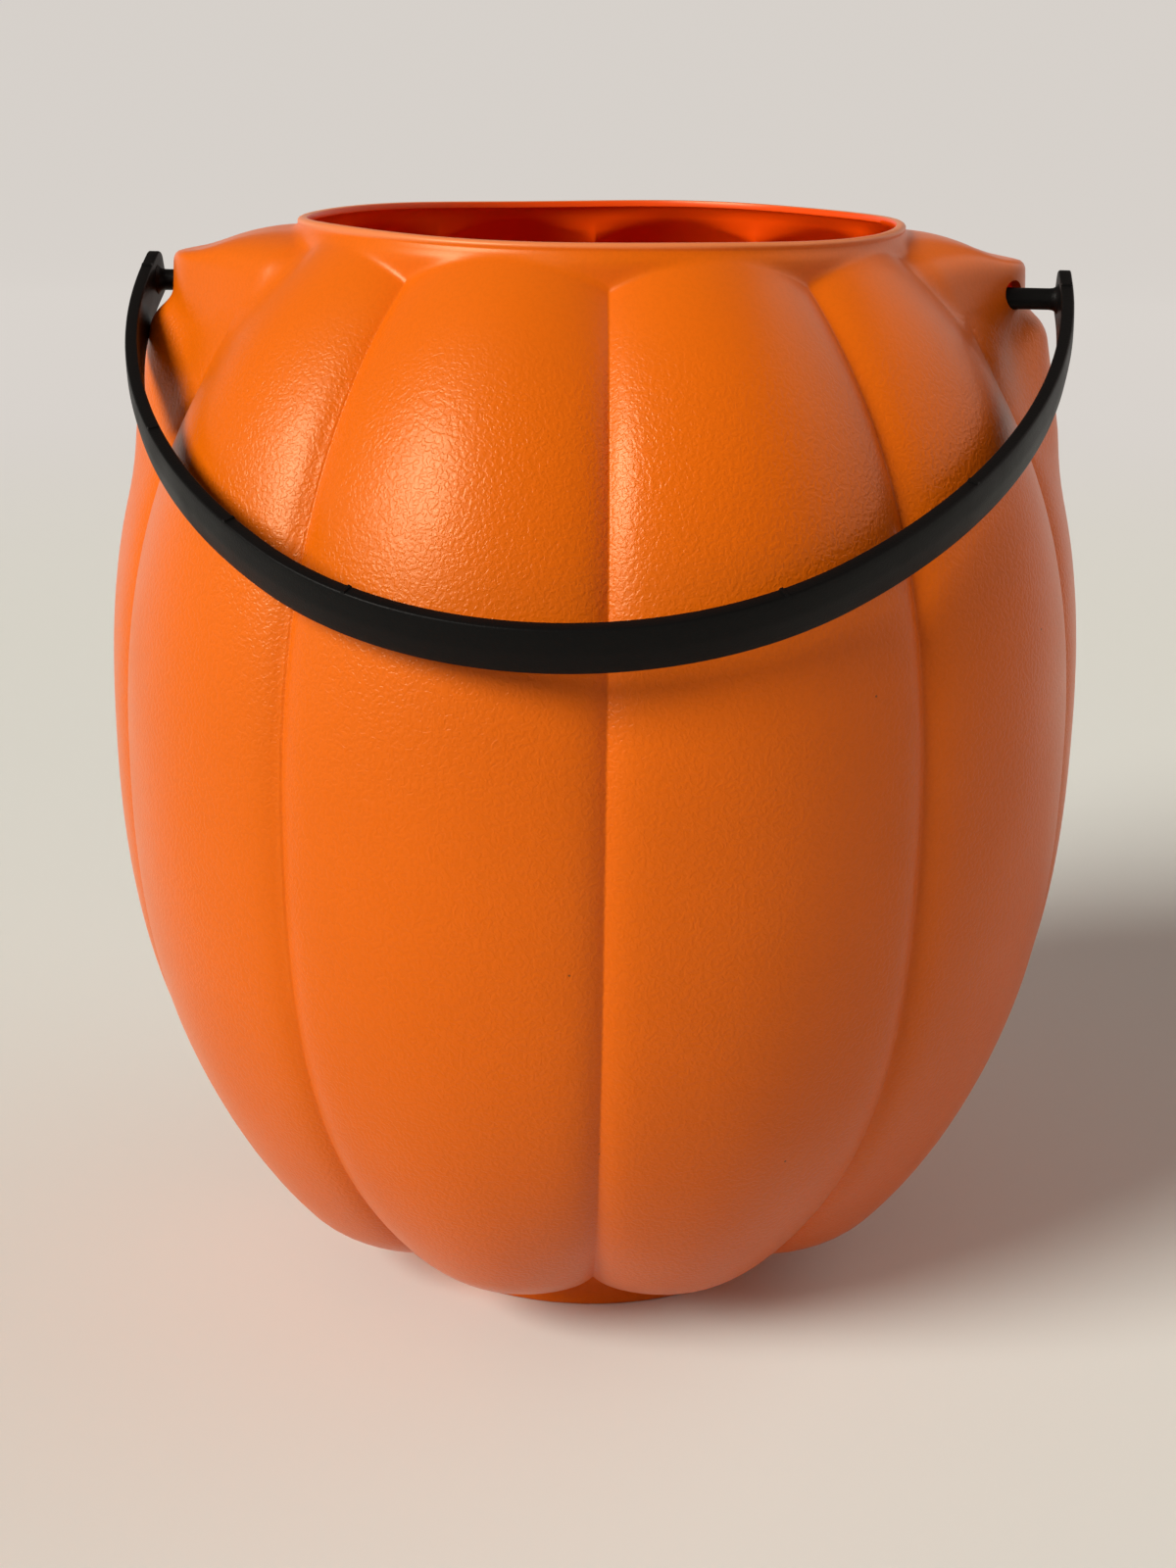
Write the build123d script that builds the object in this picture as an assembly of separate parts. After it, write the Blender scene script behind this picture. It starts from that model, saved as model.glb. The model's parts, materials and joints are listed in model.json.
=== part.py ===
"""Pumpkin candy pail: a blow-moulded lobed shell with two hollow ears, and a strap handle on two pegs.

Millimetres. The origin is on the table, under the middle of the foot. +Z is up, the plain front
faces -Y, and the ears lie along X. The strap hangs down in front, resting on the lobes.
"""
import os
from math import acos, atan2, cos, hypot, pi, radians, sin, sqrt, tan

from build123d import *

# Shell: lobed body
LOBES = 10                   # even, with one lobe centred on each ear
WALL = 1.6
WAIST_HEIGHT = 124.0         # height of the widest section
CREST_RADIUS = 108.0         # axis to the crown of a lobe, at the waist
GROOVE_DEPTH = 3.5           # crown to groove, at the waist
SHOULDER_EXPONENT = 2.6      # how square the crowns turn in, above the waist
GROOVE_EXPONENT = 2.26       # the same for the grooves
BELLY_EXPONENT = 2.22        # how square crowns and grooves turn in, below the waist
SECTIONS_UP = 6
SECTIONS_DOWN = 5

# Shell: collar, rim and foot
RIM_HEIGHT = 234.6
COLLAR_RADIUS = 65.5         # outside of the collar, where it leaves the lobes
COLLAR_HEIGHT = 3.2          # rim above the point where the lobe crowns meet the collar
COLLAR_TAPER = 1.6           # how far the collar draws in up to the rim
COLLAR_SKIRT = 16.0          # collar hidden below the lobe tops
GROOVE_STOP = 5.5            # grooves end this far below the lobe crowns
FOOT_RADIUS = 50.0
FOOT_HEIGHT = 1.8            # lobes end this far above the table
FOOT_EDGE = 0.8              # bevel on the foot's lower edge
LOBE_OVERHANG = 5.0          # crowns end this far outside the foot
GROOVE_OVERHANG = 2.0        # grooves end this far outside the foot
PUSH_UP_RADIUS = 40.0        # recess under the base
PUSH_UP_HEIGHT = 4.0

# Shell: ears
EAR_SETBACK = 17.0           # nose of an ear, inside the crowns' greatest radius
EAR_DROP = 7.6               # flat of an ear, below the rim
EAR_FLAT = 6.0               # flat behind the nose, before the slope up to the collar
EAR_NOSE_WIDTH = 10.0
EAR_NOSE_ROUND = 4.0
EAR_LENGTH = 30.0            # nose back to the flanks' ends
EAR_SPREAD = 60.0            # across the flanks' ends
EAR_DEPTH = 32.0             # flat of an ear down to its root inside the lobe
EAR_DRAFT = 2.5              # the nose leans out by this much, down to the root
EAR_SAG = 4.0                # the roof falls this far from its ridge to the flanks' ends
TIP_SETBACK = 10.5           # round tip of the ear's lobe, inside the crowns' greatest radius
TIP_RADIUS = 9.0
TIP_DROP = 20.5              # tip's centre, below the ear's flat
TIP_LEAN = 35.0              # degrees, tip's axis from upright, towards the outside
TIP_SPREAD = 45.0            # degrees, half angle of the tip's taper
TIP_LENGTH = 24.0

# Handle: strap, pegs and the holes they turn in
PIVOT_DROP = 7.3             # peg axis, below the ear's flat
PIVOT_SKEW = 6.0             # degrees, the holes' line from the ears' line, seen from above
PEG_DIAMETER = 4.5
HOLE_DIAMETER = 6.2
PEG_SEAT = 0.2               # gap below a peg that rests in its hole
PEG_ROOT_ROUND = 0.8
HEAD_DIAMETER = 7.4          # snap head, wider than its hole
HEAD_SHOULDER = 1.2
HEAD_TIP_DIAMETER = 3.4
HEAD_LENGTH = 5.0
HEAD_PLAY = 0.5              # head's shoulder to the inside of the ear's flank
STRAP_WIDTH = 9.8
STRAP_THICKNESS = 2.6
STRAP_INSET = 9.5            # strap's middle line at the pegs, inside the crowns' greatest radius
STRAP_SQUARENESS = 20.0      # radius of the strap's front bend, less than half its span by this
STRAP_END = 5.4              # strap past the peg's axis
STRAP_END_ROUND = 2.4
STRAP_EDGE = 0.4             # bevel along the strap's edges
STRAP_REST = 24.0            # degrees below level, hanging in front
STRAP_GAP = 0.35             # strap to the lobes that it rests on

CREST, GROOVE = "crest", "groove"
HALF_LOBE = pi / LOBES
LOBE_TOP = RIM_HEIGHT - COLLAR_HEIGHT
EAR_FLAT_HEIGHT = RIM_HEIGHT - EAR_DROP
EAR_NOSE = CREST_RADIUS - EAR_SETBACK
EAR_ROOT_HEIGHT = EAR_FLAT_HEIGHT - EAR_DEPTH
PIVOT_HEIGHT = EAR_FLAT_HEIGHT - PIVOT_DROP
STRAP_HALF_SPAN = CREST_RADIUS - STRAP_INSET
STRAP_BEND = STRAP_HALF_SPAN - STRAP_SQUARENESS


def meridian(line, upper):
    """Widest radius, reach from the waist and exponent of a crown or groove line, seen from the side."""
    if line == CREST:
        widest = CREST_RADIUS
        end_radius = COLLAR_RADIUS if upper else FOOT_RADIUS + LOBE_OVERHANG
        end_height = LOBE_TOP if upper else FOOT_HEIGHT
        exponent = SHOULDER_EXPONENT if upper else BELLY_EXPONENT
    else:
        widest = CREST_RADIUS - GROOVE_DEPTH
        end_radius = COLLAR_RADIUS if upper else FOOT_RADIUS + GROOVE_OVERHANG
        end_height = LOBE_TOP - GROOVE_STOP if upper else FOOT_HEIGHT
        exponent = GROOVE_EXPONENT if upper else BELLY_EXPONENT
    run = abs(end_height - WAIST_HEIGHT)
    reach = run / (1 - (end_radius / widest) ** 2) ** (1 / exponent)
    return widest, reach, exponent


def radius_at(line, height, inset=0.0):
    """Radius of a crown or groove line at a height, moved in by the inset."""
    widest, reach, exponent = meridian(line, height > WAIST_HEIGHT)
    part = min(abs(height - WAIST_HEIGHT) / (reach - inset), 0.999)
    return (widest - inset) * sqrt(1 - part**exponent)


def section_heights(inset=0.0):
    """Heights of the body's sections, closer together where the crowns turn in."""
    heights = []
    for upper, end_radius, steps in (
        (False, FOOT_RADIUS + LOBE_OVERHANG, SECTIONS_DOWN),
        (True, COLLAR_RADIUS, SECTIONS_UP),
    ):
        widest, reach, exponent = meridian(CREST, upper)
        turn = acos(end_radius / widest)
        for step in range(0 if upper else 1, steps + 1):
            rise = (reach - inset) * sin(turn * step / steps) ** (2 / exponent)
            heights.append(WAIST_HEIGHT + (rise if upper else -rise))
    return sorted(heights)


def lobed_section(height, inset=0.0):
    """One level section: an arc over each lobe, from groove to groove."""
    crest = radius_at(CREST, height, inset)
    groove = radius_at(GROOVE, height, inset)
    arcs = []
    for lobe in range(LOBES):
        middle = 2 * lobe * HALF_LOBE
        points = ((groove, middle - HALF_LOBE), (crest, middle), (groove, middle + HALF_LOBE))
        arcs.append(ThreePointArc(*[(r * cos(a), r * sin(a), height) for r, a in points]))
    return Face(Wire(arcs))


def lobed_body(inset=0.0):
    """The ten lobes as one smooth loft."""
    return loft([lobed_section(height, inset) for height in section_heights(inset)])


def lobe_radius(azimuth, height):
    """Outside radius of the lobed body in one direction, at a height."""
    crest = radius_at(CREST, height)
    groove = radius_at(GROOVE, height)
    off = (azimuth + HALF_LOBE) % (2 * HALF_LOBE) - HALF_LOBE
    chord = groove * sin(HALF_LOBE)
    bulge = crest - groove * cos(HALF_LOBE)
    arc = (chord**2 + bulge**2) / (2 * bulge)
    middle = crest - arc
    return middle * cos(off) + sqrt(arc**2 - (middle * sin(off)) ** 2)


def turned(*points):
    """Solid of revolution about Z from radius and height pairs."""
    return revolve(make_face(Plane.XZ * Polyline(*points, close=True)), Axis.Z)


def collar_blank():
    """Outside of the collar, solid."""
    rim = COLLAR_RADIUS - COLLAR_TAPER
    skirt = LOBE_TOP - COLLAR_SKIRT
    return turned(
        (0, skirt),
        (COLLAR_RADIUS, skirt),
        (COLLAR_RADIUS, LOBE_TOP),
        (rim, RIM_HEIGHT),
        (0, RIM_HEIGHT),
    )


def mouth_bore():
    """Inside of the collar, open upwards."""
    bore = COLLAR_RADIUS - COLLAR_TAPER - WALL
    return Pos(0, 0, LOBE_TOP - COLLAR_SKIRT) * Cylinder(
        bore, COLLAR_SKIRT + 2 * COLLAR_HEIGHT, align=(Align.CENTER, Align.CENTER, Align.MIN)
    )


def foot_blank(inset=0.0):
    """Foot disc, from the table up into the lobes."""
    disc = Pos(0, 0, inset) * Cylinder(
        FOOT_RADIUS - inset, 3 * FOOT_HEIGHT, align=(Align.CENTER, Align.CENTER, Align.MIN)
    )
    return chamfer(disc.edges().group_by(Axis.Z)[0], FOOT_EDGE)


def push_up(outset=0.0):
    """Ball whose top is the recess under the base."""
    ball = (PUSH_UP_RADIUS**2 + PUSH_UP_HEIGHT**2) / (2 * PUSH_UP_HEIGHT)
    return Pos(0, 0, PUSH_UP_HEIGHT - ball) * Rot(90, 0, 0) * Sphere(ball + outset)


def ear_plan(nose, flank_end, spread, height, inset=0.0):
    """Level section of an ear: a blunt nose, two flanks and a tail inside the body."""
    half_nose = EAR_NOSE_WIDTH / 2
    tail = flank_end - EAR_LENGTH / 2
    outline = Polyline(
        (tail, -spread / 2),
        (flank_end, -spread / 2),
        (nose, -half_nose),
        (nose, half_nose),
        (flank_end, spread / 2),
        (tail, spread / 2),
        close=True,
    )
    plan = make_face(outline)
    plan = fillet(plan.vertices().group_by(Axis.X)[-1], EAR_NOSE_ROUND)
    if inset:
        plan = offset(plan, -inset, kind=Kind.INTERSECTION)
    return Pos(0, 0, height) * plan


def ear_block(inset=0.0):
    """One ear on +X: flanks lofted from the grooves up to the roof, under a sloping ridge."""
    groove = radius_at(GROOVE, EAR_ROOT_HEIGHT) - WALL / 2
    root = ear_plan(
        EAR_NOSE + EAR_DRAFT, groove * cos(HALF_LOBE), 2 * groove * sin(HALF_LOBE), EAR_ROOT_HEIGHT, inset
    )
    top = ear_plan(EAR_NOSE, EAR_NOSE - EAR_LENGTH, EAR_SPREAD, RIM_HEIGHT, inset)
    ridge = LOBE_TOP + COLLAR_HEIGHT / 2
    beyond = EAR_NOSE + EAR_LENGTH
    side = Polyline(
        (0, EAR_ROOT_HEIGHT),
        (0, ridge - inset),
        (COLLAR_RADIUS, ridge - inset),
        (EAR_NOSE - EAR_FLAT, EAR_FLAT_HEIGHT - inset),
        (beyond, EAR_FLAT_HEIGHT - inset),
        (beyond, EAR_ROOT_HEIGHT),
        close=True,
    )
    roof = extrude(make_face(Plane.XZ * side), EAR_SPREAD, both=True)
    bow = ((EAR_SPREAD / 2) ** 2 + EAR_SAG**2) / (2 * EAR_SAG)
    barrel = Pos(0, 0, ridge - inset - bow) * Rot(0, 90, 0) * Cylinder(bow, 2 * beyond)
    return loft([root, top], ruled=True) & roof & barrel


def lobe_tip(inset=0.0):
    """Round tip of the lobe under an ear: a ball running down into a taper."""
    ball = TIP_RADIUS - inset
    spread = radians(TIP_SPREAD)
    centre = (CREST_RADIUS - TIP_SETBACK - TIP_RADIUS, 0, EAR_FLAT_HEIGHT - TIP_DROP)
    lean = Plane(origin=centre, x_dir=(0, 1, 0), z_dir=(sin(radians(TIP_LEAN)), 0, cos(radians(TIP_LEAN))))
    narrow = ball * cos(spread)
    taper = Cone(
        narrow + TIP_LENGTH * tan(spread), narrow, TIP_LENGTH, align=(Align.CENTER, Align.CENTER, Align.MAX)
    )
    return lean.location * (Sphere(ball) + Pos(0, 0, ball * sin(spread)) * taper)


def both_sides(solid):
    """The same solid on both ears, half a turn apart."""
    return solid + Rot(0, 0, 180) * solid


def pivot_frame():
    """Plane of the hanging strap: X along the pegs, Y from the pegs out to the strap's middle."""
    skew = radians(-PIVOT_SKEW)
    rest = radians(STRAP_REST)
    return Plane(
        origin=(0, 0, PIVOT_HEIGHT),
        x_dir=(cos(skew), sin(skew), 0),
        z_dir=(-sin(rest) * sin(skew), sin(rest) * cos(skew), -cos(rest)),
    )


def peg_holes():
    """Round holes through the outer ends of both ears, with room above the pegs."""
    lift = (HOLE_DIAMETER - PEG_DIAMETER) / 2 - PEG_SEAT
    length = CREST_RADIUS - head_shoulder()
    drill = Pos(head_shoulder(), 0, PIVOT_HEIGHT + lift) * Rot(0, 90, 0) * Cylinder(
        HOLE_DIAMETER / 2, length, align=(Align.CENTER, Align.CENTER, Align.MIN)
    )
    return both_sides(Rot(0, 0, -PIVOT_SKEW) * drill)


def head_shoulder():
    """Distance of the snap head's shoulder from the pail's axis, just inside the ear's flank."""
    run = EAR_LENGTH
    rise = (EAR_SPREAD - EAR_NOSE_WIDTH) / 2
    side = EAR_NOSE * tan(radians(PIVOT_SKEW)) + HEAD_DIAMETER / 2
    flank = EAR_NOSE - max(side - EAR_NOSE_WIDTH / 2, 0) * run / rise
    return flank - WALL * hypot(run, rise) / rise - HEAD_PLAY


def pail_shell():
    outside = lobed_body() + collar_blank() + foot_blank()
    outside += both_sides(ear_block() + lobe_tip())
    inside = lobed_body(WALL) + mouth_bore() + foot_blank(WALL)
    inside += both_sides(ear_block(WALL) + lobe_tip(WALL))
    inside -= push_up(WALL)
    return outside - push_up() - inside - peg_holes()


def strap_side(depth):
    """Radius of the strap's two side bends, which run on from its front bend, and the turn where they meet."""
    forward = depth - STRAP_BEND
    radius = (STRAP_HALF_SPAN**2 + forward**2 - STRAP_BEND**2) / (2 * STRAP_SQUARENESS)
    return radius, atan2(forward, radius - STRAP_HALF_SPAN)


def strap_point(depth, turn, out=0.0):
    """Point of the strap's middle line, moved outwards, in the strap's own plane. Turn 0 is the right peg."""
    side, meet = strap_side(depth)
    if turn < meet:
        return STRAP_HALF_SPAN - side + (side + out) * cos(turn), (side + out) * sin(turn)
    if turn > pi - meet:
        return side - STRAP_HALF_SPAN + (side + out) * cos(turn), (side + out) * sin(turn)
    return (STRAP_BEND + out) * cos(turn), depth - STRAP_BEND + (STRAP_BEND + out) * sin(turn)


def strap_depth():
    """Pegs to the strap's middle line, so that the strap's lower inner edge just clears the lobes."""
    frame = pivot_frame()

    def clearance(depth):
        gaps = []
        for step in range(1, 180):
            across, out = strap_point(depth, pi * step / 180, -STRAP_THICKNESS / 2)
            point = frame.from_local_coords(Vector(across, out, STRAP_WIDTH / 2))
            gaps.append(hypot(point.X, point.Y) - lobe_radius(atan2(point.Y, point.X), point.Z))
        return min(gaps)

    shallow, deep = STRAP_HALF_SPAN, 2 * CREST_RADIUS
    while deep - shallow > 0.01:
        middle = (shallow + deep) / 2
        if clearance(middle) < STRAP_GAP:
            shallow = middle
        else:
            deep = middle
    return deep


def strap():
    """Strap bent in three arcs, in its own plane, with a short straight end past each peg."""
    depth = strap_depth()
    _, meet = strap_side(depth)
    outline = []
    for out in (STRAP_THICKNESS / 2, -STRAP_THICKNESS / 2):
        for start, end in ((0, meet), (meet, pi - meet), (pi - meet, pi)):
            points = [strap_point(depth, turn, out) for turn in (start, (start + end) / 2, end)]
            outline.append(ThreePointArc(*points))
    outer, inner = STRAP_HALF_SPAN + STRAP_THICKNESS / 2, STRAP_HALF_SPAN - STRAP_THICKNESS / 2
    for right in (1, -1):
        ends = ((outer, 0), (outer, -STRAP_END), (inner, -STRAP_END), (inner, 0))
        outline.append(Polyline(*[(right * across, along) for across, along in ends]))
    band = extrude(make_face(outline), STRAP_WIDTH / 2, both=True)
    band = fillet(band.edges().filter_by(Axis.X).group_by(Axis.Y)[0], STRAP_END_ROUND)
    rims = band.faces().filter_by(Axis.Z).edges()
    return chamfer(rims, STRAP_EDGE)


def peg():
    """One peg on +X, from the strap in to its snap head."""
    shoulder = head_shoulder()
    shaft = Pos(shoulder, 0, 0) * Rot(0, 90, 0) * Cylinder(
        PEG_DIAMETER / 2, STRAP_HALF_SPAN - shoulder, align=(Align.CENTER, Align.CENTER, Align.MIN)
    )
    root = Pos(STRAP_HALF_SPAN - STRAP_THICKNESS / 2, 0, 0) * Rot(0, -90, 0) * Cone(
        PEG_DIAMETER / 2 + PEG_ROOT_ROUND, PEG_DIAMETER / 2, PEG_ROOT_ROUND,
        align=(Align.CENTER, Align.CENTER, Align.MIN),
    )
    brim = Pos(shoulder, 0, 0) * Rot(0, -90, 0) * Cylinder(
        HEAD_DIAMETER / 2, HEAD_SHOULDER, align=(Align.CENTER, Align.CENTER, Align.MIN)
    )
    point = Pos(shoulder - HEAD_SHOULDER, 0, 0) * Rot(0, -90, 0) * Cone(
        HEAD_DIAMETER / 2, HEAD_TIP_DIAMETER / 2, HEAD_LENGTH - HEAD_SHOULDER,
        align=(Align.CENTER, Align.CENTER, Align.MIN),
    )
    return shaft + root + brim + point


def strap_handle():
    hung = strap() + peg() + mirror(peg(), Plane.YZ)
    return pivot_frame().location * hung


def main():
    os.makedirs("parts", exist_ok=True)
    export_step(pail_shell(), "parts/pail_shell.step")
    export_step(strap_handle(), "parts/strap_handle.step")


main()
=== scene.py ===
"""Looks of the pumpkin candy pail: a blow-moulded orange shell and a black strap handle on two pegs.

Everything is in metres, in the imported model's own frame: the origin is on the table under the foot,
+Z is up, the ears lie along X and the strap hangs on the -Y side. Lengths inside the shape functions
are in millimetres, and the mesh makers turn them into metres.
"""
import json
import math

import bpy
import numpy as np
from bpy.props import FloatProperty, FloatVectorProperty, IntProperty, PointerProperty
from mathutils import Matrix, Vector


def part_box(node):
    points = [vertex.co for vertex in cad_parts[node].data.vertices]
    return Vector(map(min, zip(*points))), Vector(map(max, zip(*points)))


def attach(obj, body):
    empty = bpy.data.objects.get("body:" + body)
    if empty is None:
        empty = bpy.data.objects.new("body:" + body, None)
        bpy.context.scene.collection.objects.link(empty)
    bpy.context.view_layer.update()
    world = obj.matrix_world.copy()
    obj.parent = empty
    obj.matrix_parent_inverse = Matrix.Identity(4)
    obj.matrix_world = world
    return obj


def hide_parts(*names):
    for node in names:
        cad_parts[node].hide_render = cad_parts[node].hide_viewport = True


bl_info = {
    "name": "Pumpkin candy pail",
    "version": (1, 0, 0),
    "blender": (4, 5, 0),
    "location": "View3D > Sidebar > Pail",
    "description": "Builds the lobed shell and the strap handle of a candy pail round its packed model",
    "category": "Add Mesh",
}

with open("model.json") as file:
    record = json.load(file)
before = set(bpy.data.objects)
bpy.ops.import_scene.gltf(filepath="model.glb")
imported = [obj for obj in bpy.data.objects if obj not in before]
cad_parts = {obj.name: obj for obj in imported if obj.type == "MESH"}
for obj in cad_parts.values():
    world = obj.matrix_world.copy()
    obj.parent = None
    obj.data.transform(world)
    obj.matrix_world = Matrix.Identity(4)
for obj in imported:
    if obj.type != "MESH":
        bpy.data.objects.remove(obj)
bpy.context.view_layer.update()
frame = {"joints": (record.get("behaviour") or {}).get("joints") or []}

MM = 0.001
_, SHELL_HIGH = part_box("pail_shell")
SWING = next(joint for joint in frame["joints"] if joint["name"] == "handle_swing")
PIVOT_HEIGHT = SWING["pos_m"][2]
PIVOT_SKEW = math.atan2(-SWING["axis"][1], -SWING["axis"][0])

# Height on the axis, in millimetres, from which a ray meets each side of the wall once.
MIDDLE = 150.0


# Shapes shared by the pieces

def smooth_max(a, b, softness):
    """The larger of two values, with the corner between them rounded off."""
    meet = np.maximum(softness - np.abs(a - b), 0.0) / softness
    return np.maximum(a, b) + meet * meet * softness / 4


def smooth_min(a, b, softness):
    """The smaller of two values, with the corner between them rounded off."""
    return -smooth_max(-a, -b, softness)


def ease(low, high, value):
    """0 below low, 1 above high, and a smooth rise between."""
    t = np.clip((value - low) / (high - low), 0.0, 1.0)
    return t * t * (3 - 2 * t)


def arc_radius(half_chord, rise):
    """Radius of an arc that rises this far over its chord."""
    return (half_chord**2 + rise**2) / (2 * rise)


def mesh_piece(name, points, faces, material):
    """A smooth-shaded mesh object from points in millimetres."""
    mesh = bpy.data.meshes.new(name)
    mesh.from_pydata((np.asarray(points) * MM).tolist(), [], faces)
    mesh.materials.append(material)
    mesh.polygons.foreach_set("use_smooth", [True] * len(mesh.polygons))
    mesh.update()
    piece = bpy.data.objects.new(name, mesh)
    bpy.context.scene.collection.objects.link(piece)
    return piece


def ring_faces(rows, columns, start=0):
    """Quads between closed rings of points that follow one another."""
    across = np.arange(columns)
    nxt = (across + 1) % columns
    faces = []
    for row in range(rows - 1):
        a, b = start + row * columns, start + (row + 1) * columns
        faces.extend(np.stack([a + across, a + nxt, b + nxt, b + across], axis=1).tolist())
    return faces


def capped_rings(rings):
    """Points and faces of closed rings that follow one another, with a flat cap on each end."""
    columns = len(rings[0])
    last = (len(rings) - 1) * columns
    faces = ring_faces(len(rings), columns)
    faces.append(list(range(columns))[::-1])
    faces.append([last + k for k in range(columns)])
    return np.concatenate(rings), faces


class PailShape:
    """Outside of the shell as one smooth field, in millimetres: below zero is inside it."""

    # How square the crown and groove lines are, above and below the waist; 2 is an ellipse.
    CROWN_POWERS = (2.6, 2.25)
    GROOVE_POWERS = (2.26, 2.5)
    LEAST_GROOVE = 0.5
    SHOULDER_FADE = (200.0, 230.0)

    # The groove with the bead, counted in half lobes, the bead's place beside it, and its half width.
    BEAD_GROOVE, BEAD_SIDE, BEAD_HALF_WIDTH = -7, 0.35, 0.4
    BEAD_START, BEAD_STOP = (70.0, 110.0), (205.0, 216.0)

    # How far the corners between the shapes are rounded off.
    SOFT_UNDERSIDE, SOFT_COLLAR, SOFT_FOOT, SOFT_PUSH_UP = 13.0, 0.5, 0.8, 0.6
    SOFT_NOSE, SOFT_FLANK, SOFT_RIDGE, SOFT_FLAT, SOFT_BARREL = 5.0, 4.0, 1.5, 2.5, 6.0
    SOFT_TIP = 2.4

    def __init__(self, settings):
        to_mm = 1 / MM
        self.half_lobe = math.pi / settings.lobes
        self.waist = settings.waist_height * to_mm
        self.crest = settings.crest_radius * to_mm
        self.groove = self.crest - settings.groove_depth * to_mm
        self.rim = settings.rim_height * to_mm
        self.collar = settings.collar_radius * to_mm
        self.collar_taper = settings.collar_taper * to_mm
        self.lobe_top = self.rim - settings.collar_height * to_mm
        self.groove_top = self.lobe_top - settings.groove_stop * to_mm
        self.foot = settings.foot_radius * to_mm
        self.foot_height = settings.foot_height * to_mm
        self.wall = settings.wall * to_mm
        self.crease = settings.crease_softness * to_mm
        self.fullness = settings.lobe_fullness * to_mm
        self.overhang = settings.lobe_overhang * to_mm
        self.groove_foot = settings.groove_foot * to_mm
        self.bead_height = settings.bead_height * to_mm
        self.nose = self.crest - settings.ear_setback * to_mm
        self.ear_flat = self.rim - settings.ear_drop * to_mm

    def meridian(self, height, widest, top, bottom, powers):
        """Radius of a crown or groove line at each height; top and bottom are its ends."""
        def reach(end, power):
            return abs(end[1] - self.waist) / (1 - (end[0] / widest) ** 2) ** (1 / power)

        top_power, bottom_power = powers
        upper = height > self.waist
        length = np.where(upper, reach(top, top_power), reach(bottom, bottom_power))
        share = np.abs(height - self.waist) / length
        power = np.where(upper, top_power, bottom_power)
        return widest * np.sqrt(np.maximum(1 - np.minimum(share, 1.0) ** power, 1e-4))

    def lobe_radius(self, azimuth, height):
        """Radius of the ten lobes, with soft creases where two of them meet."""
        crest = self.meridian(
            height, self.crest, (self.collar, self.lobe_top),
            (self.foot + self.overhang, self.foot_height), self.CROWN_POWERS)
        groove = self.meridian(
            height, self.groove, (self.collar, self.groove_top),
            (self.foot, self.groove_foot), self.GROOVE_POWERS)
        groove = np.minimum(groove, crest - self.LEAST_GROOVE)
        chord = groove * math.sin(self.half_lobe)
        arc = arc_radius(chord, crest - groove * math.cos(self.half_lobe))
        middle = crest - arc

        def one_lobe(off):
            return middle * np.cos(off) + np.sqrt(np.maximum(arc**2 - (middle * np.sin(off)) ** 2, 0.0))

        off = np.abs((azimuth + self.half_lobe) % (2 * self.half_lobe) - self.half_lobe)
        crease = smooth_max(one_lobe(off), one_lobe(off - 2 * self.half_lobe), self.crease)
        across = off / self.half_lobe
        fuller = self.fullness * (across**4 - across**8) * (1 - ease(*self.SHOULDER_FADE, height))
        return crease + fuller + self.bead(azimuth, height, groove)

    def bead(self, azimuth, height, groove):
        """Thin moulding bead along one groove on the left of the front, uneven on its way down."""
        beside = (azimuth - self.BEAD_GROOVE * self.half_lobe) * groove + self.BEAD_SIDE
        uneven = 0.7 + 0.3 * np.sin(height * 1.9) * np.sin(height * 0.83 + 1.0)
        ends = ease(*self.BEAD_START, height) * (1 - ease(*self.BEAD_STOP, height))
        return self.bead_height * uneven * ends * np.exp(-(beside / self.BEAD_HALF_WIDTH) ** 2)

    def ear(self, x, y, z):
        """An ear: blunt nose, two flanks, and a roof that slopes from the collar to a flat."""
        root, half_nose, half_width, depth = 195.0, 5.0, 30.0, 30.0
        nose_spread, flank_spread, narrowing = 2.5, 23.3, 2.6
        drop = (self.rim - z) / (self.rim - root)
        nose = self.nose + nose_spread * drop
        flank_x = self.nose - depth + flank_spread * drop
        flank_y = half_width - narrowing * drop
        run, rise = nose - flank_x, flank_y - half_nose
        flank = ((x - nose) * rise + (y - half_nose) * run) / np.hypot(run, rise)
        body = smooth_max(flank, x - nose, self.SOFT_NOSE)
        body = smooth_max(body, y - flank_y, self.SOFT_FLANK)
        body = np.maximum(body, root - z)

        ridge_rise, roof_arch, roof_crown, flat_length = 2.6, 3.0, 4.0, 6.0
        ridge = self.lobe_top + ridge_rise
        slope_run, slope_drop = self.nose - flat_length - self.collar, ridge - self.ear_flat
        past_collar = x - self.collar
        share = np.clip(past_collar / slope_run, 0.0, 1.0)
        arch = roof_arch * share * (1 - share)
        slope = past_collar * slope_drop + (z - ridge - arch) * slope_run
        slope = slope / math.hypot(slope_run, slope_drop)
        roof = smooth_max(slope, z - ridge, self.SOFT_RIDGE)
        roof = smooth_min(roof, z - self.ear_flat, self.SOFT_FLAT)
        bow = arc_radius(half_width, roof_crown)
        barrel = np.hypot(y, z - ridge + bow) - bow

        # The roof's edges are crisp at the nose and melt into the shoulder behind it.
        crisp, softer = 2.2, 8.0
        softness = crisp + softer * (1 - ease(self.nose - 26.0, self.nose - 2.0, x))
        return smooth_max(smooth_max(body, roof, softness), barrel, self.SOFT_BARREL)

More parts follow.
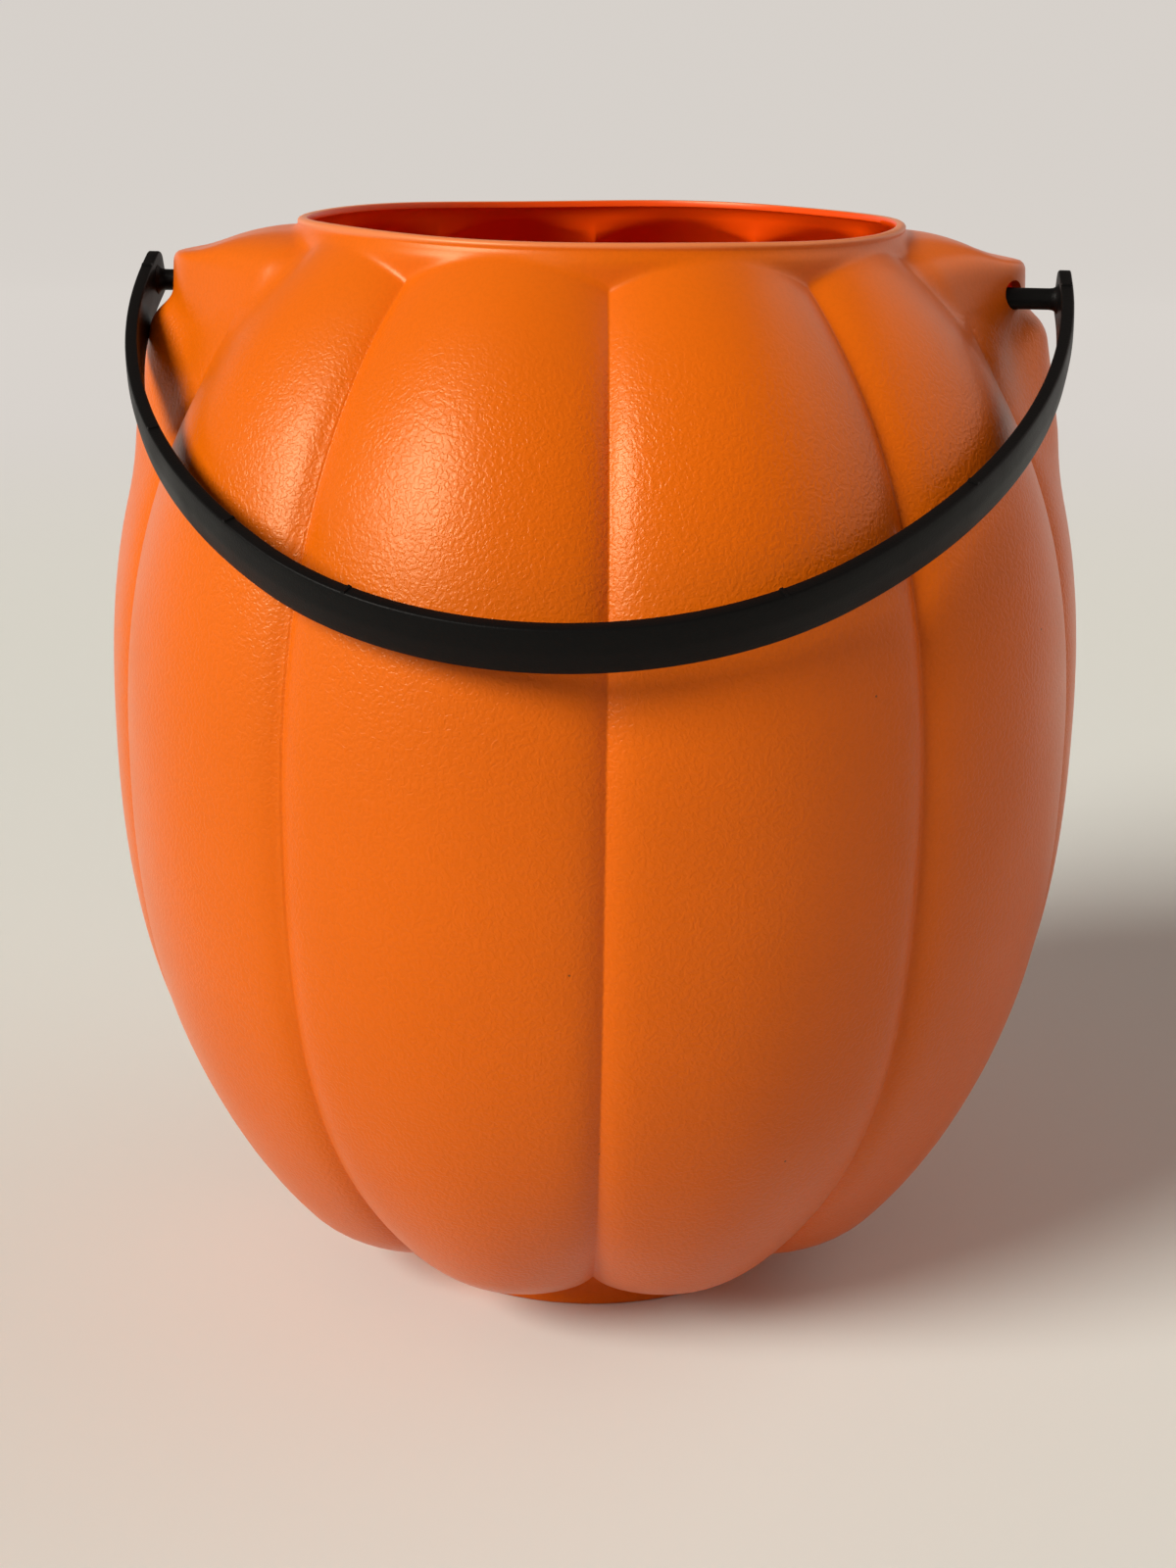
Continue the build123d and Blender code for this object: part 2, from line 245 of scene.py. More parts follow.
    def ear_lobe_tip(self, x, y, z):
        """Round tip of the lobe under an ear, running down into a taper that sinks into the lobe."""
        lean, spread, ball, length = math.radians(35), math.radians(45), 9.0, 30.0
        inset, below_flat, sink = 19.5, 18.5, 4.0
        centre_x, centre_z = self.crest - inset, self.ear_flat - below_flat
        along = (x - centre_x) * math.sin(lean) + (z - centre_z) * math.cos(lean)
        side = (x - centre_x) * math.cos(lean) - (z - centre_z) * math.sin(lean)
        out = np.hypot(side, y)
        taper = out * math.cos(spread) + along * math.sin(spread) - ball
        cap = np.hypot(out, along) - ball
        tip = np.where(np.arctan2(along, out) > spread, cap, taper)
        sunk = sink * ease(6.0, 28.0, -along)
        return np.maximum(tip + sunk, -along - length)

    def outside(self, points):
        """Distance outside the shell, about, at each point."""
        x, y, z = points[..., 0], points[..., 1], points[..., 2]
        azimuth, radius = np.arctan2(y, x), np.hypot(x, y)
        step = 0.4
        slant = self.lobe_radius(azimuth, z + step) - self.lobe_radius(azimuth, z - step)
        lobes = (radius - self.lobe_radius(azimuth, z)) / np.hypot(1.0, slant / (2 * step))
        lobes = smooth_max(lobes, self.foot_height - z, self.SOFT_UNDERSIDE)

        collar_depth, foot_reach = 14.0, 3 * self.foot_height
        collar_radius = self.collar - self.collar_taper * ease(self.lobe_top - 1.0, self.rim, z)
        collar = np.maximum(radius - collar_radius, self.lobe_top - collar_depth - z)
        foot = np.maximum(radius - self.foot, np.maximum(z - foot_reach, -z))

        # The valley beside an ear is sharp at the collar and wider lower down.
        sharp, wider = 1.6, 4.4
        valley = sharp + wider * (1 - ease(206.0, 226.0, z))
        field = smooth_min(lobes, collar, self.SOFT_COLLAR)
        field = smooth_min(field, self.ear(np.abs(x), np.abs(y), z), valley)
        field = smooth_min(field, self.ear_lobe_tip(np.abs(x), np.abs(y), z), self.SOFT_TIP)
        return smooth_min(field, foot, self.SOFT_FOOT)

    def cast(self, centre, directions, level):
        """Points where rays from the centre reach a level of the field, found by halving."""
        nearest, farthest, halvings = 20.0, 220.0, 30
        near = np.full(directions.shape[:-1], nearest)
        far = np.full(directions.shape[:-1], farthest)
        for _ in range(halvings):
            middle = (near + far) / 2
            inside = self.outside(centre + directions * middle[..., None]) < level
            near, far = np.where(inside, middle, near), np.where(inside, far, middle)
        return centre + directions * ((near + far) / 2)[..., None]


# Materials

def new_material(name):
    """An empty node material with its output and one main shader."""
    material = bpy.data.materials.new(name)
    material.use_nodes = True
    tree = material.node_tree
    tree.nodes.clear()
    output, shader = add_node(tree, "OutputMaterial"), add_node(tree, "BsdfPrincipled")
    linker(tree)(shader, "BSDF", output, "Surface")
    return material, tree, shader


def add_node(tree, kind, inputs=None, **settings):
    """A shader node with its own settings and unlinked inputs."""
    node = tree.nodes.new("ShaderNode" + kind)
    for key, value in settings.items():
        setattr(node, key, value)
    for key, value in (inputs or {}).items():
        node.inputs[key].default_value = value
    return node


def linker(tree):
    """A link maker for one node tree: from a node's output to another node's input."""
    def link(source, output, target, socket):
        tree.links.new(source.outputs[output], target.inputs[socket])

    return link


def add_mix(tree, **colours):
    """A colour mix; the colours given here are fixed, and the others get a link."""
    node = add_node(tree, "Mix", data_type="RGBA")
    for socket, colour in colours.items():
        node.inputs[socket].default_value = (*colour, 1.0)
    return node


def shaded(colour, share):
    """A colour made darker or lighter."""
    return [channel * share for channel in colour]


def new_group(name, inputs, outputs):
    """A shader node group with named sockets; returns the tree and its two end nodes."""
    tree = bpy.data.node_groups.new(name, "ShaderNodeTree")
    for label, default in inputs:
        socket = tree.interface.new_socket(name=label, in_out="INPUT", socket_type="NodeSocketFloat")
        socket.default_value = default
    for label in outputs:
        tree.interface.new_socket(name=label, in_out="OUTPUT", socket_type="NodeSocketFloat")
    return tree, tree.nodes.new("NodeGroupInput"), tree.nodes.new("NodeGroupOutput")


def place_group(tree, group, **values):
    """A group in a material, with its own values."""
    node = add_node(tree, "Group", node_tree=group)
    for label, value in values.items():
        node.inputs[label.replace("_", " ")].default_value = value
    return node


def moulded_grain():
    """Pebbled grain that a spark-eroded mould leaves: rounded worms with finer pits between them."""
    name = "moulded_grain"
    if name in bpy.data.node_groups:
        return bpy.data.node_groups[name]
    tree, given, result = new_group(
        name, [("Grains per Metre", 800.0), ("Waviness", 0.6), ("Pit Share", 0.3)], ["Height"])
    place = add_node(tree, "TexCoord")
    worms = add_node(tree, "TexNoise", {"Detail": 1.0, "Roughness": 0.4})
    ridged = add_node(
        tree, "MapRange", {"From Min": 0.38, "From Max": 0.62}, interpolation_type="SMOOTHSTEP")
    finer = add_node(tree, "Math", {1: 2.1}, operation="MULTIPLY")
    pits = add_node(tree, "TexNoise", {"Detail": 0.0})
    share = add_node(tree, "Math", operation="MULTIPLY")
    total = add_node(tree, "Math", operation="ADD")
    link = linker(tree)
    link(place, "Object", worms, "Vector")
    link(given, "Grains per Metre", worms, "Scale")
    link(given, "Waviness", worms, "Distortion")
    link(worms, "Fac", ridged, "Value")
    link(given, "Grains per Metre", finer, 0)
    link(place, "Object", pits, "Vector")
    link(finer, "Value", pits, "Scale")
    link(pits, "Fac", share, 0)
    link(given, "Pit Share", share, 1)
    link(ridged, "Result", total, 0)
    link(share, "Value", total, 1)
    link(total, "Value", result, "Height")
    return tree


def handling_wear():
    """Soft patches where the plastic is rubbed smoother or duller, and a few small dark specks."""
    name = "handling_wear"
    if name in bpy.data.node_groups:
        return bpy.data.node_groups[name]
    tree, given, result = new_group(
        name, [("Patches per Metre", 30.0), ("Specks per Metre", 260.0)], ["Patches", "Specks"])
    place = add_node(tree, "TexCoord")
    cloud = add_node(tree, "TexNoise", {"Detail": 4.0, "Roughness": 0.55})
    spots = add_node(tree, "TexVoronoi", {"Randomness": 1.0}, feature="F1")
    small = add_node(tree, "MapRange", {"From Min": 0.05, "From Max": 0.02})
    seldom = add_node(tree, "SeparateColor")
    few = add_node(tree, "MapRange", {"From Min": 0.965, "From Max": 0.97})
    both = add_node(tree, "Math", operation="MULTIPLY")
    link = linker(tree)
    link(place, "Object", cloud, "Vector")
    link(given, "Patches per Metre", cloud, "Scale")
    link(cloud, "Fac", result, "Patches")
    link(place, "Object", spots, "Vector")
    link(given, "Specks per Metre", spots, "Scale")
    link(spots, "Distance", small, "Value")
    link(spots, "Color", seldom, "Color")
    link(seldom, "Red", few, "Value")
    link(small, "Result", both, 0)
    link(few, "Result", both, 1)
    link(both, "Value", result, "Specks")
    return tree


def wear_to_roughness(tree, wear, shader, smoothest, dullest):
    """Let a shader's roughness follow the patches of wear."""
    link = linker(tree)
    dull = add_node(
        tree, "MapRange", {"From Min": 0.3, "From Max": 0.7, "To Min": smoothest, "To Max": dullest})
    link(wear, "Patches", dull, "Value")
    link(dull, "Result", shader, "Roughness")


def skin_material(settings):
    """Orange polyethylene: satin, pebbled outside where it met the mould and smooth inside, with painted
    shade in the grain's pits, a painted highlight on the rim's lip and a painted glow inside.
    """
    material, tree, shader = new_material("orange_polyethylene")
    link = linker(tree)
    rim = settings.rim_height
    wear = place_group(tree, handling_wear(), Patches_per_Metre=26.0, Specks_per_Metre=160.0)
    grain = place_group(
        tree, moulded_grain(), Grains_per_Metre=1 / settings.grain_size, Waviness=0.5, Pit_Share=0.25)

    # Outside is where the surface faces away from the middle of the pail.
    place = add_node(tree, "TexCoord")
    height = add_node(tree, "SeparateXYZ")
    surface = add_node(tree, "NewGeometry")
    from_middle = add_node(tree, "VectorMath", {1: (0.0, 0.0, MIDDLE * MM)}, operation="SUBTRACT")
    facing = add_node(tree, "VectorMath", operation="DOT_PRODUCT")
    outside = add_node(tree, "Math", {1: 0.0}, operation="GREATER_THAN")
    link(place, "Object", height, "Vector")
    link(place, "Object", from_middle, 0)
    link(from_middle, "Vector", facing, 0)
    link(surface, "True Normal", facing, 1)
    link(facing, "Value", outside, 0)

    # Colour: faint patches, painted shade in the grain's pits, few specks, a painted highlight along the
    # trimmed rim, and a painted glow inside.
    patched = add_mix(tree, A=settings.skin_colour, B=shaded(settings.skin_colour, 0.9))
    # Painted shade: the skin is painted darker in the grain's pits, where shade would fall.
    pit_shade = add_mix(tree, B=shaded(settings.skin_colour, 0.4))
    specked = add_mix(tree, B=(0.16, 0.05, 0.01))
    # Painted highlight: a paler pink along the top of the rim, partly the trimmed edge's paler tone and
    # partly a painted highlight where the lip catches the light.
    rim_highlight_and_trim = add_mix(tree, B=(0.92, 0.36, 0.16))
    # Painted glow: the inside is painted a deeper orange for the light that comes through the wall and
    # bounces about inside.
    painted_inside_glow = add_mix(tree, A=settings.inside_glow_colour)
    pit_shade_share = add_node(tree, "MapRange", {"From Min": 0.7, "From Max": 0.1, "To Max": 0.05})
    rim_highlight_and_trim_share = add_node(
        tree, "MapRange", {"From Min": rim - 0.0012, "From Max": rim - 0.0007, "To Max": 0.5})
    link(wear, "Patches", patched, "Factor")
    link(grain, "Height", pit_shade_share, "Value")
    link(pit_shade_share, "Result", pit_shade, "Factor")
    link(patched, "Result", pit_shade, "A")
    link(wear, "Specks", specked, "Factor")
    link(pit_shade, "Result", specked, "A")
    link(height, "Z", rim_highlight_and_trim_share, "Value")
    link(rim_highlight_and_trim_share, "Result", rim_highlight_and_trim, "Factor")
    link(specked, "Result", rim_highlight_and_trim, "A")
    link(outside, "Value", painted_inside_glow, "Factor")
    link(rim_highlight_and_trim, "Result", painted_inside_glow, "B")
    link(painted_inside_glow, "Result", shader, "Base Color")

    # Grain: on the outside only, and fading out towards the collar.
    below_collar = add_node(
        tree, "MapRange", {"From Min": rim - 0.0056, "From Max": rim - 0.0296, "To Min": 0.1},
        interpolation_type="SMOOTHSTEP")
    grained = add_node(tree, "Math", operation="MULTIPLY")
    pressed = add_node(tree, "Math", operation="MULTIPLY")
    bump = add_node(tree, "Bump", {"Strength": 0.45, "Distance": settings.grain_relief})
    link(height, "Z", below_collar, "Value")
    link(outside, "Value", grained, 0)
    link(below_collar, "Result", grained, 1)
    link(grain, "Height", pressed, 0)
    link(grained, "Value", pressed, 1)
    link(pressed, "Value", bump, "Height")
    link(bump, "Normal", shader, "Normal")

    wear_to_roughness(tree, wear, shader, 0.29, 0.37)
    shader.inputs["IOR"].default_value = 1.5
    shader.inputs["Specular IOR Level"].default_value = 0.44
    shader.inputs["Specular Tint"].default_value = (1.0, 0.82, 0.54, 1.0)
    return material


def strap_material(settings):
    """Black injection-moulded strap: satin, finely grained, a little greyer where it has been rubbed."""
    material, tree, shader = new_material("black_strap_plastic")
    link = linker(tree)
    wear = place_group(tree, handling_wear(), Patches_per_Metre=60.0, Specks_per_Metre=500.0)
    grain = place_group(tree, moulded_grain(), Grains_per_Metre=2600.0, Waviness=0.3, Pit_Share=0.5)
    rubbed = add_mix(tree, A=settings.strap_colour, B=shaded(settings.strap_colour, 1.6))
    bump = add_node(tree, "Bump", {"Strength": 0.35, "Distance": 0.00003})
    link(wear, "Patches", rubbed, "Factor")
    link(rubbed, "Result", shader, "Base Color")
    wear_to_roughness(tree, wear, shader, 0.38, 0.5)
    link(grain, "Height", bump, "Height")
    link(bump, "Normal", shader, "Normal")
    shader.inputs["IOR"].default_value = 1.5
    shader.inputs["Specular IOR Level"].default_value = 0.1
    return material


def stage_material(settings):
    """Plain pale paper that takes the pail's shadow, and turns into an even backdrop farther off."""
    material, tree, shader = new_material("pale_sweep")
    link = linker(tree)
    place = add_node(tree, "TexCoord")
    tooth = add_node(tree, "TexNoise", {"Scale": 900.0, "Detail": 2.0})
    bump = add_node(tree, "Bump", {"Strength": 0.05, "Distance": 0.0001})
    link(place, "Object", tooth, "Vector")
    link(tooth, "Fac", bump, "Height")
    link(bump, "Normal", shader, "Normal")

    # The paper is pale to the eye and in reflections, and darker to the light that it throws back.
    ray = add_node(tree, "LightPath")
    mirrored = add_node(tree, "Math", operation="MAXIMUM")
    seen = add_node(tree, "Math", operation="MAXIMUM")
    paper = add_mix(tree, A=settings.bounce_colour, B=settings.floor_colour)
    link(ray, "Is Glossy Ray", mirrored, 0)
    link(ray, "Is Transmission Ray", mirrored, 1)
    link(ray, "Is Camera Ray", seen, 0)
    link(mirrored, "Value", seen, 1)
    link(seen, "Value", paper, "Factor")

    # Away from the pail its place is taken by an even glow, which no wall can shade.
    black = (0.0, 0.0, 0.0)
    fade = {"From Min": settings.floor_radius * 0.25, "From Max": settings.floor_radius * 0.6}
    away = add_node(tree, "VectorMath", operation="LENGTH")
    far = add_node(tree, "MapRange", fade, interpolation_type="SMOOTHSTEP")
    behind = add_node(tree, "Math", operation="MULTIPLY")
    unlit = add_mix(tree, B=black)
    glow = add_mix(tree, A=black, B=settings.backdrop_colour)
    link(place, "Object", away, 0)
    link(away, "Value", far, "Value")
    link(far, "Result", behind, 0)
    link(seen, "Value", behind, 1)
    link(behind, "Value", unlit, "Factor")
    link(behind, "Value", glow, "Factor")
    link(paper, "Result", unlit, "A")
    link(unlit, "Result", shader, "Base Color")
    link(glow, "Result", shader, "Emission Color")
    shader.inputs["Emission Strength"].default_value = 1.0
    shader.inputs["Roughness"].default_value = 0.75
    shader.inputs["Specular IOR Level"].default_value = 0.1
    return material


# Settings

class ShellSettings(bpy.types.PropertyGroup):
    """Sizes and colours of the orange shell."""

    lobes: IntProperty(
        name="Lobes", default=10, min=6, max=16,
        description="Lobes round the pail, one centred on each ear")
    crest_radius: FloatProperty(
        name="Crown radius", default=SHELL_HIGH.x, unit="LENGTH",
        description="Axis to the crown of a lobe at the waist")
    groove_depth: FloatProperty(
        name="Groove depth", default=0.0035, unit="LENGTH",
        description="Crown to groove at the waist")
    crease_softness: FloatProperty(
        name="Crease softness", default=0.0004, unit="LENGTH",
        description="How far the groove's corner is rounded off")
    lobe_fullness: FloatProperty(
        name="Lobe fullness", default=0.003, unit="LENGTH",
        description="How far the lobes stay full before they turn down into their grooves")
    bead_height: FloatProperty(
        name="Bead height", default=0.0004, unit="LENGTH",
        description="Moulding bead along one groove")
    waist_height: FloatProperty(
        name="Waist height", default=0.124, unit="LENGTH",
        description="Height of the widest section")
    rim_height: FloatProperty(
        name="Rim height", default=SHELL_HIGH.z, unit="LENGTH",
        description="Table to the top of the rim")
    collar_radius: FloatProperty(
        name="Collar radius", default=0.0655, unit="LENGTH",
        description="Outside of the collar")
    collar_height: FloatProperty(
        name="Collar height", default=0.0032, unit="LENGTH",
        description="Rim above the tops of the lobes")
    collar_taper: FloatProperty(
        name="Collar taper", default=0.0016, unit="LENGTH",
        description="How far the collar draws in to the rim")
    groove_stop: FloatProperty(
        name="Groove stop", default=0.0055, unit="LENGTH",
        description="Grooves end this far below the lobe tops")
    foot_radius: FloatProperty(
        name="Foot radius", default=0.05, unit="LENGTH",
        description="Outside of the foot ring")
    foot_height: FloatProperty(
        name="Foot height", default=0.0064, unit="LENGTH",
        description="Lobes end this far above the table")
    lobe_overhang: FloatProperty(
        name="Lobe overhang", default=0.0138, unit="LENGTH",
        description="Lobes end this far outside the foot ring")
    groove_foot: FloatProperty(
        name="Groove foot", default=0.006, unit="LENGTH",
        description="Grooves end this far above the table")
    ear_setback: FloatProperty(
        name="Ear setback", default=0.017, unit="LENGTH",
        description="Nose of an ear inside the crowns")
    ear_drop: FloatProperty(
        name="Ear drop", default=0.0076, unit="LENGTH",
        description="Flat of an ear below the rim")
    wall: FloatProperty(
        name="Wall", default=0.0016, unit="LENGTH",
        description="Thickness of the moulding")
    rim_waviness: FloatProperty(
        name="Rim waviness", default=0.0003, unit="LENGTH",
        description="How far the trimmed rim rises and falls")
    grain_size: FloatProperty(
        name="Grain size", default=0.0008, unit="LENGTH",
        description="Width of one pebble of the moulded grain")
    grain_relief: FloatProperty(
        name="Grain relief", default=0.0001, unit="LENGTH",
        description="Height of the moulded grain")
    skin_colour: FloatVectorProperty(
        name="Skin colour", default=(0.88, 0.16, 0.001), min=0, max=1, subtype="COLOR",
        description="Orange of the shell")
    # Painted glow: a deeper orange that stands in for light through the wall, not a colour of the plastic
    # itself.
    inside_glow_colour: FloatVectorProperty(
        name="Inside colour", default=(0.95, 0.08, 0.001), min=0, max=1, subtype="COLOR",
        description="Deeper orange of the inside, where light comes through the wall")


class StrapSettings(bpy.types.PropertyGroup):
    """Sizes and colour of the black strap handle."""

    half_span: FloatProperty(
        name="Half span", default=0.0985, unit="LENGTH",
        description="Axis to the strap's middle line at the pegs")
    depth: FloatProperty(
        name="Depth", default=0.1237, unit="LENGTH",
        description="Pegs to the strap's middle line in front")
    squareness: FloatProperty(
        name="Squareness", default=0.02, unit="LENGTH",
        description="Radius of the front bend, less than the half span by this")
    width: FloatProperty(
        name="Width", default=0.0098, unit="LENGTH",
        description="Broad face of the strap")
    thickness: FloatProperty(
        name="Thickness", default=0.0026, unit="LENGTH",
        description="Thin way of the strap")
    crown: FloatProperty(
        name="Crown", default=0.0004, unit="LENGTH",
        description="Blunt ridge along the middle of the outer face")
    end: FloatProperty(
        name="End", default=0.0054, unit="LENGTH",
        description="Strap past the peg's axis")
    rest_angle: FloatProperty(
        name="Rest angle", default=math.radians(24.0), subtype="ANGLE",
        description="Strap below level as it hangs")
    peg_diameter: FloatProperty(
        name="Peg diameter", default=0.0045, unit="LENGTH",
        description="Shaft of a peg")
    hole_diameter: FloatProperty(
        name="Hole diameter", default=0.0062, unit="LENGTH",
        description="Hole in an ear that a peg turns in")
    head_diameter: FloatProperty(
        name="Head diameter", default=0.0074, unit="LENGTH",
        description="Snap head of a peg")
    head_shoulder: FloatProperty(
        name="Head shoulder", default=0.0781, unit="LENGTH",
        description="Axis of the pail to a head's shoulder")
    strap_colour: FloatVectorProperty(
        name="Strap colour", default=(0.003, 0.003, 0.003), min=0, max=1, subtype="COLOR",
        description="Black of the strap")


class StageSettings(bpy.types.PropertyGroup):
    """Floor, light and camera."""

    floor_colour: FloatVectorProperty(
        name="Floor colour", default=(0.83, 0.88, 0.86), min=0, max=1, subtype="COLOR",
        description="Pale floor sweep as it is seen")
    bounce_colour: FloatVectorProperty(
        name="Bounce colour", default=(0.5, 0.42, 0.38), min=0, max=1, subtype="COLOR",
        description="Floor as it lights the pail")
    backdrop_colour: FloatVectorProperty(
        name="Backdrop colour", default=(0.67, 0.63, 0.59), min=0, max=1, subtype="COLOR",
        description="Far floor and wall as they are seen")
    sky_colour: FloatVectorProperty(
        name="Sky colour", default=(1.0, 0.80, 0.72), min=0, max=1, subtype="COLOR",
        description="Even light from all round")
    floor_radius: FloatProperty(
        name="Floor radius", default=2.2, unit="LENGTH",
        description="Flat part of the floor")
    camera_place: FloatVectorProperty(
        name="Camera place", default=(-0.0111, -0.4848, 0.2680), subtype="TRANSLATION",
        description="Where the camera stands")
    camera_turn: FloatProperty(
        name="Camera turn", default=math.radians(1.16), subtype="ANGLE",
        description="Camera's heading, clockwise from +Y")
    camera_pitch: FloatProperty(
        name="Camera pitch", default=math.radians(18.34), subtype="ANGLE",
        description="Camera's tilt below level")
    camera_roll: FloatProperty(
        name="Camera roll", default=math.radians(0.78), subtype="ANGLE",
        description="How far the picture is turned clockwise")
    focal_length: FloatProperty(
        name="Focal length", default=50.625, unit="CAMERA",
        description="Lens on a sensor 36 mm long")
    key_strength: FloatProperty(
        name="Key strength", default=3.2,
        description="Soft window light from the left")
    fill_strength: FloatProperty(
        name="Fill strength", default=0.95,
        description="Weak light from the right")
    sky_strength: FloatProperty(
        name="Sky strength", default=0.17,
        description="How much light comes from all round")


# Pieces

class PAIL_OT_shell(bpy.types.Operator):
    """Make the lobed orange shell with its ears, rim, foot and peg holes"""

    bl_idname = "pail.shell"
    bl_label = "Shell"

    # Columns of the mesh across half a lobe, from the crease to the crown, and over a lobe with an ear.
    COLUMN_SHARES = (
        0.0, 0.008, 0.018, 0.033, 0.06, 0.1, 0.15, 0.21, 0.29, 0.39, 0.5, 0.62, 0.74, 0.87, 1.0)
    EAR_COLUMNS = 76

    # The wall is cast in three bands, parted at these tilts from the middle of the pail.
    BAND_TILTS = (math.radians(24), math.radians(-60))
    OUTER_STEPS, INNER_STEPS = (68, 56, 36), (28, 26, 12)

    # Rings inside the foot, in millimetres, and the push-up of the base.
    BASE_RINGS = (46.0, 43.0, 41.0, 40.0, 38.5, 36.0, 31.0, 24.0, 16.0, 8.0, 2.0)
    PUSH_UP_RADIUS, PUSH_UP_HEIGHT = 40.0, 4.0

    def execute(self, context):
        settings, strap = context.scene.pail_shell, context.scene.pail_strap
        shape = PailShape(settings)
        azimuths = self.columns(shape)
        outer, inner = self.wall_rows(shape, azimuths, settings.rim_waviness / MM)
        points, faces = self.closed_wall(outer, inner)
        shell = mesh_piece("pumpkin_shell", points, faces, skin_material(settings))
        self.drill(shell, strap)
        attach(shell, "pail")
        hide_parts("pail_shell")
        return {"FINISHED"}

    def columns(self, shape):
        """Azimuths of the mesh's columns: close together at the creases and over the ears."""
        share = np.array(self.COLUMN_SHARES)
        plain = np.concatenate([share - 1.0, 1.0 - share[-2:0:-1]])
        under_ear = np.linspace(-1.0, 1.0, self.EAR_COLUMNS + 1)[:-1]
        lobes = round(math.pi / shape.half_lobe)
        azimuths = []
        for lobe in range(lobes):
            across = under_ear if lobe in (0, lobes // 2) else plain
            azimuths.append(2 * lobe * shape.half_lobe + across * shape.half_lobe)
        return np.concatenate(azimuths)

    def wall_rows(self, shape, azimuths, waviness):
        """Rings of points down the outside, and over the rim and down the inside."""
        centre = np.array([0.0, 0.0, MIDDLE])
        up = np.array([0.0, 0.0, 1.0])
        around = np.stack([np.cos(azimuths), np.sin(azimuths), np.zeros_like(azimuths)], axis=1)
        rim, lip, wall, foot = shape.rim, shape.collar - shape.collar_taper, shape.wall, shape.foot

        def ring(radius, height):
            return around * radius + up * height

        def tilt_of(end):
            return math.atan2(end[1] - MIDDLE, end[0])

        def fan(top, bottom, level, steps):
            stops = [tilt_of(top), *self.BAND_TILTS, tilt_of(bottom)]
            bands = zip(stops, stops[1:], steps)
            tilts = [np.linspace(start, stop, count)[:-1] for start, stop, count in bands]
            tilt = np.concatenate(tilts + [stops[-1:]])[:, None, None]
            return list(shape.cast(centre, np.cos(tilt) * around + np.sin(tilt) * up, level))

        def base(lift, first):
            ball = arc_radius(self.PUSH_UP_RADIUS, self.PUSH_UP_HEIGHT)
            rows = []
            for radius in (first, *self.BASE_RINGS):
                dome = math.sqrt(ball**2 - radius**2) - ball + self.PUSH_UP_HEIGHT
                rows.append(ring(radius, lift + smooth_max(dome, 0.0, shape.SOFT_PUSH_UP)))
            return rows

        outer = fan((lip + 0.5, rim - 1.6), (foot, 0.9), 0.0, self.OUTER_STEPS)
        outer += [ring(foot - 0.25, 0.25)] + base(0.0, foot - 0.8)
        inner = fan((lip - wall, rim - 3.0), (foot - wall - 1.0, wall + 1.0), -wall, self.INNER_STEPS)
        inner += base(wall, foot - wall - 2.0)

        # The trimmed edge, from its small outer lip over the top: out from the collar, down from the rim.
        edge = (
            (0.48, 1.35), (0.54, 1.05), (0.54, 0.65), (0.32, 0.3), (-0.1, 0.06),
            (-wall / 2, 0.0), (0.2 - wall, 0.15), (-wall, 0.6), (-wall, 1.4))
        crest = [ring(lip + out, rim - down) for out, down in edge]

        # The trimmed edge is slightly wavy, and the wave dies away over the collar.
        wave = waviness * (np.sin(2 * azimuths + 0.6) + 0.7 * np.sin(5 * azimuths + 1.9))
        wave_from, wave_full = rim - 8.0, rim - 1.0
        for row in outer + crest + inner:
            row[:, 2] += wave * ease(wave_from, wave_full, row[:, 2])
        return outer, crest + inner

    @staticmethod
    def closed_wall(outer, inner):
        """One closed skin: up the outside from the base, over the rim and down the inside."""
        rings = outer[::-1] + inner
        columns = len(rings[0])
        middles = np.array([[0, 0, rings[0][0, 2]], [0, 0, rings[-1][0, 2]]])
        points = np.concatenate(rings + [middles])
        faces = ring_faces(len(rings), columns)
        below, above = len(points) - 2, len(points) - 1
        last = (len(rings) - 1) * columns
        for k in range(columns):
            nxt = (k + 1) % columns
            faces.append([below, nxt, k])
            faces.append([above, last + k, last + nxt])
        return points, faces

    @staticmethod
    def drill(shell, strap):
        """Cut the two peg holes through the ears, so that each peg lies low in its hole."""
        radius, sides, gap_below = strap.hole_diameter / 2, 40, 0.0002
        height = PIVOT_HEIGHT + radius - strap.peg_diameter / 2 - gap_below
        inside, outside = 0.074, 0.100
        turn = Matrix.Rotation(PIVOT_SKEW, 4, "Z")
        points, faces = [], []
        for end in (-1, 1):
            start = len(points)
            for x in (inside, outside):
                for k in range(sides):
                    angle = 2 * math.pi * k / sides
                    y, z = radius * math.cos(angle), height + radius * math.sin(angle)
                    points.append(turn @ Vector((end * x, y, z)))
            faces += ring_faces(2, sides, start=start)
            faces.append(list(range(start + sides - 1, start - 1, -1)))
            faces.append(list(range(start + sides, start + 2 * sides)))
        mesh = bpy.data.meshes.new("peg_drill")
        mesh.from_pydata(points, [], faces)
        drill = bpy.data.objects.new("peg_drill", mesh)
        bpy.context.scene.collection.objects.link(drill)
        bore = shell.modifiers.new("peg_holes", "BOOLEAN")
        bore.operation, bore.solver, bore.object = "DIFFERENCE", "EXACT", drill
        graph = bpy.context.evaluated_depsgraph_get()
        cut = bpy.data.meshes.new_from_object(shell.evaluated_get(graph))
        shell.modifiers.clear()
        plain = shell.data
        shell.data = cut
        cut.name = plain.name
        bpy.data.meshes.remove(plain)
        bpy.data.objects.remove(drill)
        cut.set_sharp_from_angle(angle=math.radians(50))


